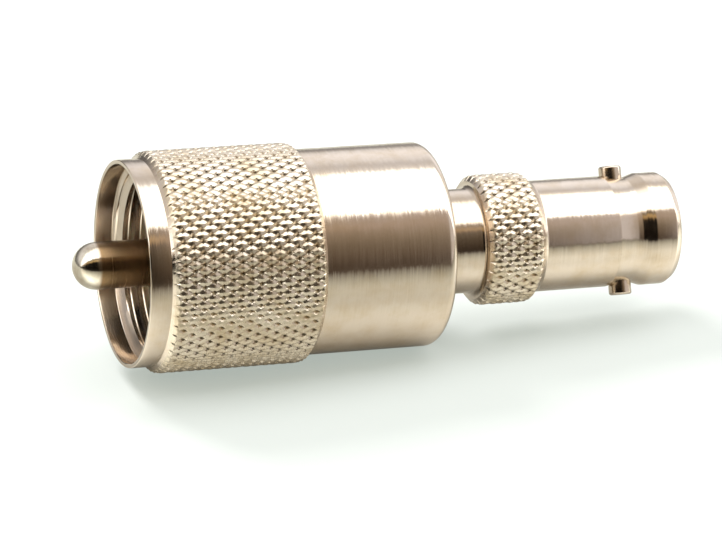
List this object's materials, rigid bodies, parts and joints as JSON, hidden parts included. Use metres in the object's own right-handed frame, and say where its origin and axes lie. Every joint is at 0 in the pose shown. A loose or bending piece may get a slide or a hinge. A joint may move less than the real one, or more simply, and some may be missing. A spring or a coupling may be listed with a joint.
{
  "type": "coaxial adapter",
  "caption": "Straight coaxial adapter from a bayonet-lock BNC socket to a threaded UHF plug, with a knurled coupling nut that turns freely on the body.",
  "frame": {"origin": "on the axis, in the plane of the BNC socket's mouth, on which the part stands", "axes": "+Z along the axis towards the UHF centre pin, +X through one bayonet lug"},
  "size_m": [0.0184, 0.0184, 0.0527],
  "materials": {
    "nickel_plate": "bright nickel plate on turned brass, with fine turning marks",
    "pin_plate": "bright nickel plate on a turned brass pin",
    "gold_plate": "thin gold plate on a turned contact",
    "ptfe": "machined PTFE, matt and slightly waxy"
  },
  "bodies": {
    "connector": {"bnc_shell": "nickel_plate", "bayonet_lugs": "nickel_plate", "bnc_insulator": "ptfe", "socket_contact": "gold_plate", "support_bead": "ptfe", "uhf_ferrule": "nickel_plate", "uhf_insulator": "ptfe", "centre_pin": "pin_plate"},
    "nut": {"coupling_nut": "nickel_plate"}
  },
  "joints": [
    {"name": "nut_turn", "type": "hinge", "parent": "connector", "child": "nut", "pos_m": [0, 0, 0.0228], "axis": [0, 0, 1], "continuous": true}
  ]
}
